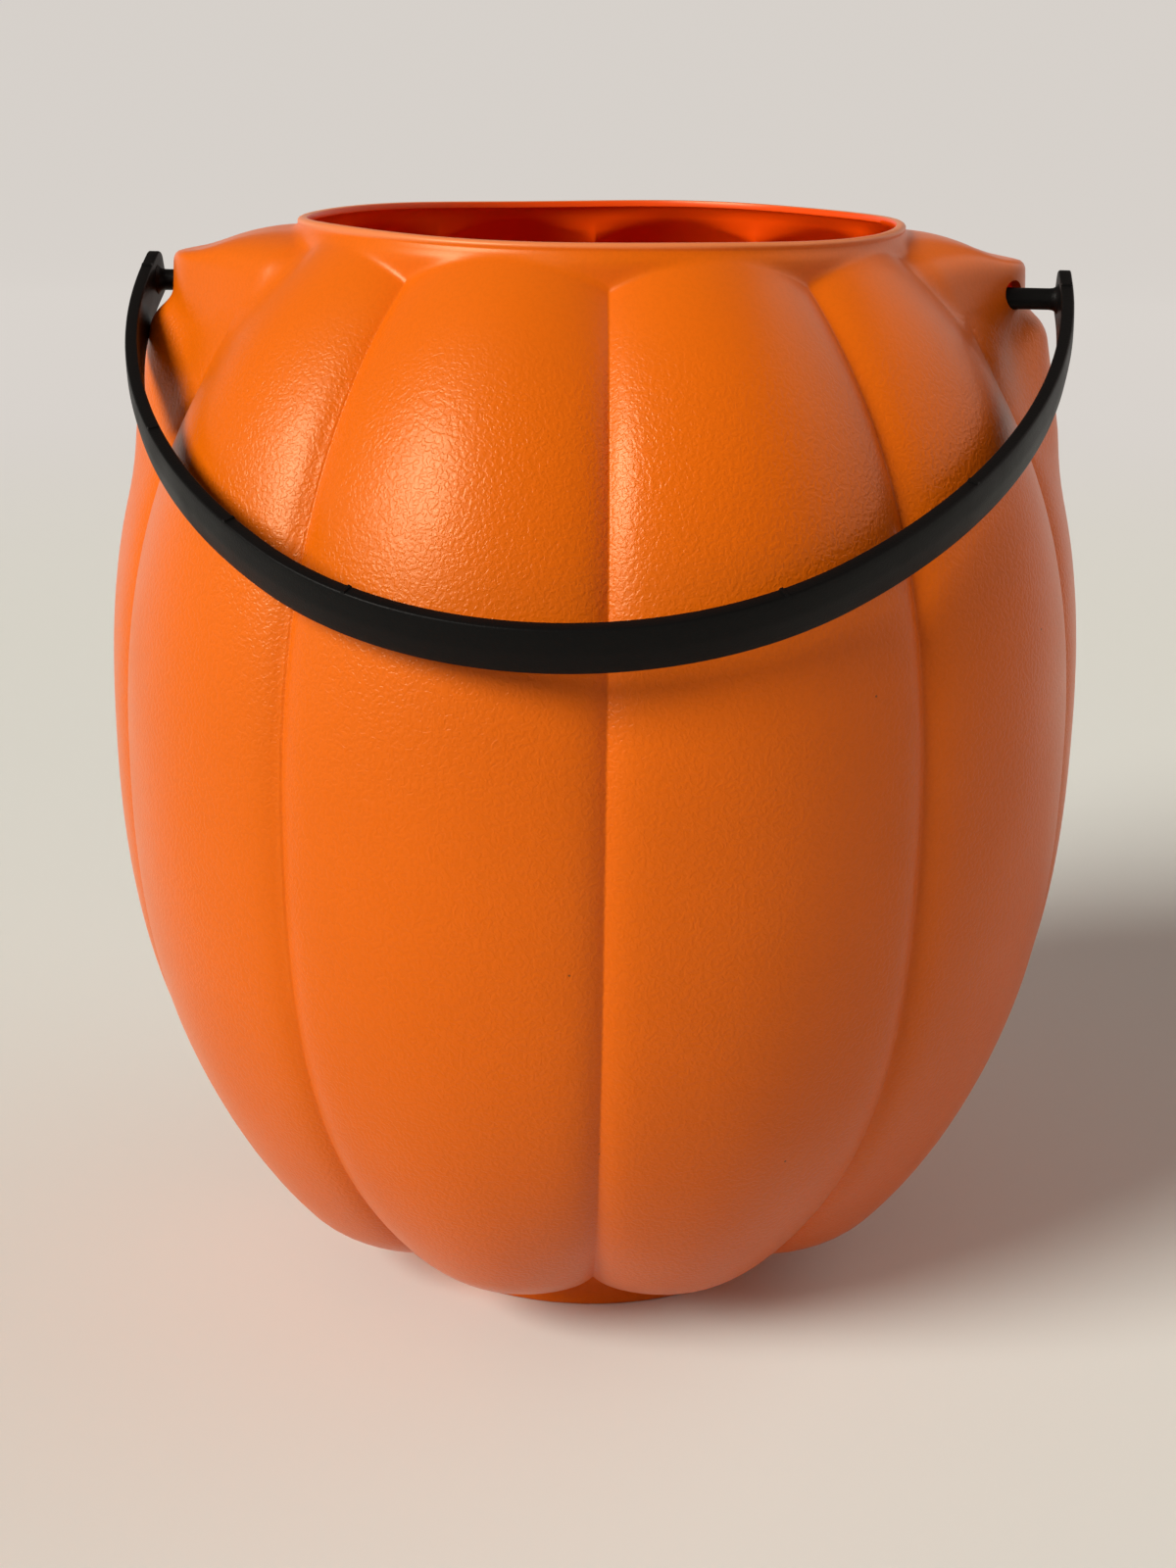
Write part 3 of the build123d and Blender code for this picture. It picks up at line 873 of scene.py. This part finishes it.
class PAIL_OT_strap(bpy.types.Operator):
    """Make the black strap with its two snap-in pegs"""

    bl_idname = "pail.strap"
    bl_label = "Strap handle"

    # Mould ticks along the strap, in degrees round its bends from one peg to the other.
    TICK_TURNS = (1.0, 33.0, 58.0, 117.0, 137.0, 152.0, 179.0)
    # Sections of a straight end, as shares of its length, close together where it is rounded.
    END_SHARES = (1.0, 0.985, 0.94, 0.86, 0.75, 0.55, 0.3)
    # Points of the outer face, as shares of half the width.
    CROWN_SHARES = (0.85, 0.6, 0.35, 0.15, 0.05, -0.05, -0.15, -0.35, -0.6, -0.85)
    BEND_STEPS = 241
    PEG_SIDES = 36

    def execute(self, context):
        settings = context.scene.pail_strap
        points, faces = self.band(settings)
        pegs = [self.peg(settings, side) for side in (1, -1)]
        ticks = [self.tick(settings, math.radians(turn)) for turn in self.TICK_TURNS]
        for more_points, more_faces in pegs + ticks:
            faces += [[index + len(points) for index in face] for face in more_faces]
            points = np.concatenate([points, more_points])
        points = self.hang(points, settings)
        strap = mesh_piece("strap_handle_moulding", points, faces, strap_material(settings))
        strap.data.set_sharp_from_angle(angle=math.radians(38))
        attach(strap, "handle")
        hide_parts("strap_handle")
        return {"FINISHED"}

    @staticmethod
    def hang(points, settings):
        """From the strap's own plane (pegs along X, front along Y) to where it hangs."""
        over = Matrix.Rotation(math.pi, 3, "X") @ Matrix.Rotation(settings.rest_angle, 3, "X")
        turn = np.array(Matrix.Rotation(PIVOT_SKEW, 3, "Z") @ over)
        return points @ turn.T + np.array([0.0, 0.0, PIVOT_HEIGHT / MM])

    @staticmethod
    def bends(settings, turns):
        """Points on the strap's three bends and the outward direction at each, in its own plane."""
        half, depth = settings.half_span / MM, settings.depth / MM
        bend = half - settings.squareness / MM
        forward = depth - bend
        side = (half**2 + forward**2 - bend**2) / (2 * (half - bend))
        meet = math.atan2(forward, side - half)
        outward = np.stack([np.cos(turns), np.sin(turns)], axis=1)
        first, last = turns < meet, turns > math.pi - meet
        middle = np.tile([0.0, forward], (len(turns), 1))
        middle[first] = (half - side, 0.0)
        middle[last] = (side - half, 0.0)
        radius = np.where(first | last, side, bend)
        return middle + outward * radius[:, None], outward

    def centre_line(self, settings):
        """Points along the strap's middle, with its straight ends, and the outward direction at each."""
        half, tail = settings.half_span / MM, settings.end / MM * np.array(self.END_SHARES)
        line, outward = self.bends(settings, np.linspace(0.0, math.pi, self.BEND_STEPS))
        first = np.stack([np.full_like(tail, half), -tail], axis=1)
        last = np.stack([np.full_like(tail, -half), -tail[::-1]], axis=1)
        right, left = np.tile([1.0, 0.0], (len(tail), 1)), np.tile([-1.0, 0.0], (len(tail), 1))
        return np.concatenate([first, line, last]), np.concatenate([right, outward, left])

    def section(self, settings):
        """Outline of the strap across and outward: rounded edges and a crowned outer face."""
        half_width, half_thick = settings.width / MM / 2, settings.thickness / MM / 2
        edge, crown, crown_power = 0.4, settings.crown / MM, 1.4
        corner = [0.0, 0.3, 0.7, 1.0]
        outline = []
        for across, out in ((1, 1), (-1, 1), (-1, -1), (1, -1)):
            for share in corner if across * out > 0 else corner[::-1]:
                angle = share * math.pi / 2
                wide = half_width - edge + edge * math.cos(angle)
                thick = half_thick - edge + edge * math.sin(angle)
                outline.append((across * wide, out * thick))
            if across == 1 and out == 1:
                for share in self.CROWN_SHARES:
                    rise = crown * (1 - abs(share) ** crown_power)
                    outline.append((half_width * share, half_thick + rise))
        return np.array(outline)

    def band(self, settings):
        """The strap's band, drawn along its middle line and rounded at both ends."""
        line, outward = self.centre_line(settings)
        section = self.section(settings)
        half_width, end, end_round = settings.width / MM / 2, settings.end / MM, 2.4
        rings = []
        for (x, y), (out_x, out_y) in zip(line, outward):
            past = max(-y, 0.0)
            short = max(past - (end - end_round), 0.0)
            narrow = end_round - math.sqrt(max(end_round**2 - short**2, 0.0))
            wide = section[:, 0] * (half_width - narrow) / half_width
            rings.append(np.stack([x + out_x * section[:, 1], y + out_y * section[:, 1], wide], axis=1))
        return capped_rings(rings)

    def tick(self, settings, turn):
        """A small mould mark across the strap's upper edge, narrower at its top."""
        (middle,), (outward,) = self.bends(settings, np.array([turn]))
        ahead = np.array([-outward[1], outward[0]])
        reach, edge = settings.thickness / MM / 2, -settings.width / MM / 2
        points = []
        for height, half_length, half_reach in ((edge + 0.5, 0.55, reach), (edge - 0.3, 0.3, reach - 0.25)):
            for along, out in ((-1, -1), (1, -1), (1, 1), (-1, 1)):
                flat = middle + ahead * along * half_length + outward * out * half_reach
                points.append((*flat, height))
        faces = [[0, 1, 2, 3], [7, 6, 5, 4]]
        faces += [[k, k + 4, (k + 1) % 4 + 4, (k + 1) % 4] for k in range(4)]
        return np.array(points), faces

    def peg(self, settings, side):
        """One peg: a flared root on the strap, a shaft, and a snap head inside the ear."""
        half_span, shoulder = settings.half_span / MM, settings.head_shoulder / MM
        root, face = half_span - 0.5, half_span - settings.thickness / MM / 2
        shaft, head = settings.peg_diameter / MM / 2, settings.head_diameter / MM / 2
        flare = [
            (root, shaft + 1.0), (face - 0.1, shaft + 0.9), (face - 0.5, shaft + 0.35),
            (face - 1.0, shaft + 0.08), (face - 1.8, shaft)]
        snap_head = [
            (shoulder + 0.2, shaft), (shoulder, shaft + 0.15), (shoulder, head - 0.3),
            (shoulder - 0.3, head), (shoulder - 1.2, head - 0.05), (shoulder - 1.6, head - 0.35),
            (shoulder - 4.6, 2.0), (shoulder - 4.9, 1.75), (shoulder - 5.0, 1.3)]
        angle = np.linspace(0, 2 * math.pi, self.PEG_SIDES, endpoint=False)
        across, upward = np.cos(angle), side * np.sin(angle)
        rings = []
        for x, radius in flare + snap_head:
            along = np.full(self.PEG_SIDES, side * x)
            rings.append(np.stack([along, radius * across, radius * upward], axis=1))
        points, faces = capped_rings(rings)
        return points, [face[::-1] for face in faces]


class PAIL_OT_stage(bpy.types.Operator):
    """Make the pale floor sweep, the soft light and the camera"""

    bl_idname = "pail.stage"
    bl_label = "Stage"
    LAMP_DISTANCE = 1.5

    def execute(self, context):
        settings = context.scene.pail_stage
        self.sweep(settings)
        self.light(context, settings)
        self.camera(context, settings)
        context.scene.view_settings.view_transform = "Standard"
        return {"FINISHED"}

    @staticmethod
    def sweep(settings):
        """A round floor that curves up into a wall all about, open at the top."""
        flat, bend, wall, sides = settings.floor_radius / MM, 600.0, 300.0, 96
        angles = np.linspace(0, 2 * math.pi, sides, endpoint=False)
        around = np.stack([np.cos(angles), np.sin(angles)], axis=1)
        profile = [(radius, 0.0) for radius in (60.0, 400.0, 0.95 * flat, flat)]
        for turn in np.linspace(0.1, math.pi / 2, 14):
            profile.append((flat + bend * math.sin(turn), bend - bend * math.cos(turn)))
        profile.append((flat + bend, bend + wall))
        rings = []
        for radius, height in profile:
            rings.append(np.column_stack([around * radius, np.full(sides, height)]))
        faces = [face[::-1] for face in ring_faces(len(rings), sides)]
        faces.append(list(range(sides)))
        floor = mesh_piece("floor_sweep", np.concatenate(rings), faces, stage_material(settings))

    def light(self, context, settings):
        """A large soft window on the left, a weak fill on the right and even light from all round."""
        world = bpy.data.worlds.new("studio_sky")
        world.use_nodes = True
        sky = world.node_tree.nodes["Background"]
        sky.inputs["Color"].default_value = (*settings.sky_colour, 1.0)
        sky.inputs["Strength"].default_value = settings.sky_strength
        context.scene.world = world
        for name, strength, spread, aim, colour in (
            ("window_light", settings.key_strength, 28.0, (0.70, 0.465, -0.542), (1.0, 0.95, 0.86)),
            ("fill_light", settings.fill_strength, 70.0, (-0.90, -0.28, -0.34), (1.0, 0.84, 0.76)),
        ):
            lamp = bpy.data.lights.new(name, "SUN")
            lamp.energy, lamp.angle, lamp.color = strength, math.radians(spread), colour
            light = bpy.data.objects.new(name, lamp)
            light.location = Vector(aim) * -self.LAMP_DISTANCE
            light.rotation_euler = Vector(aim).to_track_quat("-Z", "Y").to_euler()
            context.scene.collection.objects.link(light)

    @staticmethod
    def camera(context, settings):
        """The camera at the photograph's angle."""
        heading, pitch, roll = settings.camera_turn, settings.camera_pitch, settings.camera_roll
        ahead = Vector((math.sin(heading), math.cos(heading), 0.0))
        look = ahead * math.cos(pitch) - Vector((0, 0, math.sin(pitch)))
        right = Vector((math.cos(heading), -math.sin(heading), 0.0))
        up = right.cross(look)
        across = right * math.cos(roll) + up * math.sin(roll)
        upright = up * math.cos(roll) - right * math.sin(roll)
        lens = bpy.data.cameras.new("front_camera")
        lens.lens, lens.sensor_width = settings.focal_length, 36.0
        lens.clip_start, lens.clip_end = 0.01, 20.0
        camera = bpy.data.objects.new("front_camera", lens)
        turn = Matrix((across, upright, -look)).transposed()
        camera.matrix_world = Matrix.Translation(settings.camera_place) @ turn.to_4x4()
        context.scene.collection.objects.link(camera)
        context.scene.camera = camera


class PAIL_PT_sidebar(bpy.types.Panel):
    """Sizes, colours and makers of the pail"""

    bl_label = "Candy pail"
    bl_idname = "PAIL_PT_sidebar"
    bl_space_type = "VIEW_3D"
    bl_region_type = "UI"
    bl_category = "Pail"

    def draw(self, context):
        for group, operator in (
            (context.scene.pail_shell, PAIL_OT_shell),
            (context.scene.pail_strap, PAIL_OT_strap),
            (context.scene.pail_stage, PAIL_OT_stage),
        ):
            box = self.layout.box()
            for name in group.__annotations__:
                box.prop(group, name)
            box.operator(operator.bl_idname)


CLASSES = (
    ShellSettings, StrapSettings, StageSettings,
    PAIL_OT_shell, PAIL_OT_strap, PAIL_OT_stage, PAIL_PT_sidebar)


def register():
    for each in CLASSES:
        bpy.utils.register_class(each)
    bpy.types.Scene.pail_shell = PointerProperty(type=ShellSettings)
    bpy.types.Scene.pail_strap = PointerProperty(type=StrapSettings)
    bpy.types.Scene.pail_stage = PointerProperty(type=StageSettings)


def unregister():
    del bpy.types.Scene.pail_stage
    del bpy.types.Scene.pail_strap
    del bpy.types.Scene.pail_shell
    for each in reversed(CLASSES):
        bpy.utils.unregister_class(each)


def main():
    register()
    bpy.ops.pail.shell()
    bpy.ops.pail.strap()
    bpy.ops.pail.stage()


if __name__ == "__main__":
    main()
